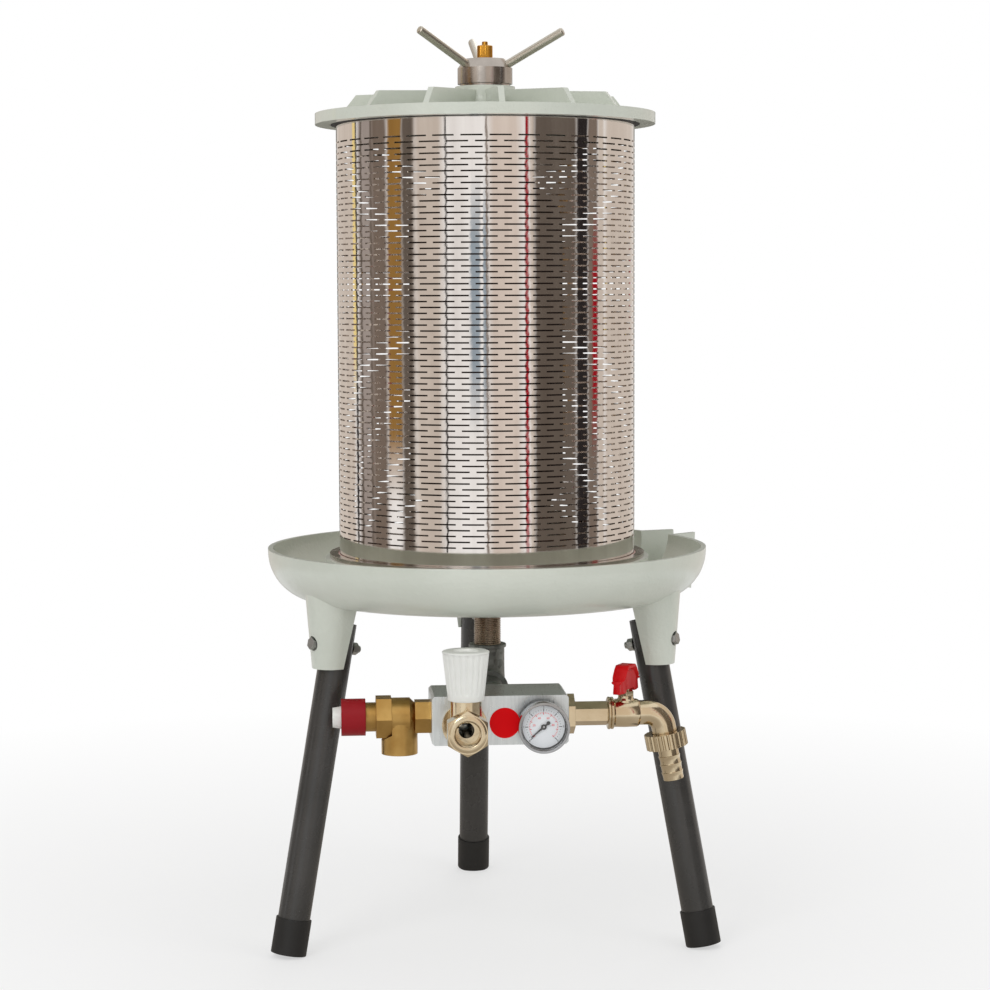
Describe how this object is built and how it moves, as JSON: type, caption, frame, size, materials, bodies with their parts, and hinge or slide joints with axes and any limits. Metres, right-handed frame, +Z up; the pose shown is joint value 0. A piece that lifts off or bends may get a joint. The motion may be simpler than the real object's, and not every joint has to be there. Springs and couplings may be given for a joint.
{
  "type": "water pressure fruit press",
  "caption": "Slotted steel basket on a cast tray with legs; tap water swells a rubber membrane inside and presses fruit outwards. Valve block, gauge, drain tap.",
  "frame": {"origin": "on the ground under the central pipe's axis", "axes": "+Z up along the central pipe; the valve block is at the front, -Y; one leg points to +Y"},
  "size_m": [0.5445, 0.5768, 1.0897],
  "materials": {
    "grey_green_paint": "slightly orange-peeled gloss paint on a casting",
    "charcoal_paint": "semi-gloss paint on tube",
    "black_plastic": "moulded",
    "mirror_stainless": "mirror polished sheet",
    "satin_stainless": "turned, satin",
    "zinc_plate": "zinc plated",
    "galvanised_iron": "hot-dip galvanised, dull",
    "black_rubber": "matt",
    "membrane_rubber": "natural rubber, matt",
    "pink_seal_rubber": "silicone, matt",
    "bright_aluminium": "satin anodised",
    "spool_aluminium": "turned",
    "yellow_brass": "cast and turned",
    "vent_brass": "knurled and turned",
    "nickel_plate": "nickel plated, warm tone",
    "red_plastic": "moulded",
    "white_plastic": "moulded",
    "red_lacquer": "lacquered die casting",
    "spring_steel": "plain",
    "gauge_chrome": "pressed and plated",
    "dial_white": "printed",
    "needle_black": "painted",
    "gauge_window": "clear",
    "red_film": "self-adhesive film",
    "seat_plastic": "turned"
  },
  "bodies": {
    "root": {"tray": "grey_green_paint", "seat_ring": "satin_stainless", "base_seal": "pink_seal_rubber", "leg_rear": "charcoal_paint", "leg_left": "charcoal_paint", "leg_right": "charcoal_paint", "leg_end_caps": "black_plastic", "leg_bolts": "zinc_plate", "leg_washers": "zinc_plate", "leg_nuts": "zinc_plate", "central_pipe": "satin_stainless", "base_lock_washer": "zinc_plate", "base_lock_nut": "galvanised_iron", "spool_gasket": "black_rubber", "membrane_spools": "spool_aluminium", "membrane": "membrane_rubber", "membrane_clamps": "satin_stainless", "upper_lock_nut": "satin_stainless", "vent_body": "vent_brass", "elbow": "galvanised_iron", "block_nipple": "galvanised_iron", "valve_block": "bright_aluminium", "relief_body": "yellow_brass", "relief_bonnet": "yellow_brass", "relief_disc_and_stem": "yellow_brass", "relief_spring": "spring_steel", "inlet_union_ring": "nickel_plate", "inlet_valve_body": "nickel_plate", "inlet_bonnet_insert": "nickel_plate", "gauge_case": "gauge_chrome", "gauge_dial": "dial_white", "gauge_lens": "gauge_window", "gauge_bezel": "gauge_chrome", "inspection_disc": "red_film", "tap_seal": "black_rubber", "tap_lock_nut": "nickel_plate", "tap_extension": "nickel_plate", "ball_valve_body": "nickel_plate", "ball_seat_rings": "seat_plastic", "tap_gland_nut": "nickel_plate", "tap_elbow": "nickel_plate", "hose_gasket": "black_rubber", "hose_tail": "nickel_plate"},
    "basket": {"basket": "mirror_stainless"},
    "lid": {"lid": "grey_green_paint", "lid_seal": "black_rubber"},
    "press_nut": {"press_nut": "satin_stainless", "nut_handle_rods": "satin_stainless", "thrust_washer": "yellow_brass"},
    "vent_cap": {"vent_cap": "vent_brass"},
    "inlet_knob": {"inlet_knob": "white_plastic", "inlet_spindle": "nickel_plate"},
    "tap_handle": {"tap_handle": "red_lacquer", "tap_stem": "nickel_plate", "valve_ball": "nickel_plate", "tap_handle_nut": "zinc_plate"},
    "relief_cap": {"relief_cap": "red_plastic", "relief_cap_tip": "white_plastic"},
    "gauge_needle": {"gauge_needle": "needle_black"},
    "union_nut": {"union_nut": "nickel_plate"}
  },
  "joints": [
    {"name": "basket_lift", "type": "slide", "parent": "root", "child": "basket", "axis": [0, 0, 1], "range_m": [0, 0.65]},
    {"name": "lid_lift", "type": "slide", "parent": "basket", "child": "lid", "axis": [0, 0, 1], "range_m": [0, 0.16]},
    {"name": "press_nut_turn", "type": "hinge", "parent": "lid", "child": "press_nut", "pos_m": [0, 0, 1.026], "axis": [0, 0, 1], "continuous": true},
    {"name": "vent_cap_turn", "type": "hinge", "parent": "root", "child": "vent_cap", "pos_m": [0, 0, 1.057], "axis": [0, 0, 1], "continuous": true},
    {"name": "inlet_knob_turn", "type": "hinge", "parent": "root", "child": "inlet_knob", "pos_m": [-0.0416, -0.238, 0.316], "axis": [0, 0, 1], "range_deg": [0, 720]},
    {"name": "tap_handle_turn", "type": "hinge", "parent": "root", "child": "tap_handle", "pos_m": [0.1495, -0.168, 0.313], "axis": [0, 0, 1], "range_deg": [-60, 30]},
    {"name": "relief_cap_turn", "type": "hinge", "parent": "root", "child": "relief_cap", "pos_m": [-0.154, -0.168, 0.287], "axis": [-1, 0, 0], "range_deg": [0, 90]},
    {"name": "gauge_needle_sweep", "type": "hinge", "parent": "root", "child": "gauge_needle", "pos_m": [0.0475, -0.23, 0.283], "axis": [0, 1, 0], "range_deg": [0, 270]},
    {"name": "union_nut_turn", "type": "hinge", "parent": "root", "child": "union_nut", "pos_m": [0.1908, -0.168, 0.287], "axis": [0.1908, 0, -0.9816], "continuous": true}
  ]
}
